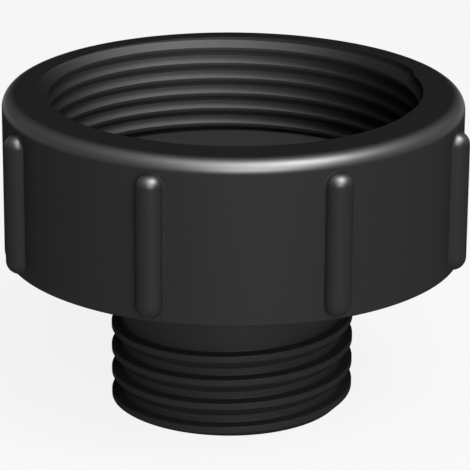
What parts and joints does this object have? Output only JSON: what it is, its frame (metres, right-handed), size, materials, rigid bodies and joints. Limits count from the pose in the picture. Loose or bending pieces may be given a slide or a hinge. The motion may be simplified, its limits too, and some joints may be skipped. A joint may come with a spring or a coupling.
{
  "type": "threaded tank outlet adapter",
  "caption": "Black moulded reducing adapter with a wide inside-threaded collar with grip ribs, a narrow outside-threaded spigot, a through bore and a flat sealing ring.",
  "frame": {"origin": "centre of the spigot's end face, which the adapter stands on", "axes": "+Z along the bore axis from the spigot up to the open socket; -Y towards the picture's camera"},
  "size_m": [0.1108, 0.1108, 0.0776],
  "materials": {
    "body_plastic": "satin moulded black polypropylene",
    "gasket_rubber": "matt black rubber"
  },
  "bodies": {
    "root": {"adapter_body": "body_plastic", "sealing_gasket": "gasket_rubber"}
  },
  "joints": []
}
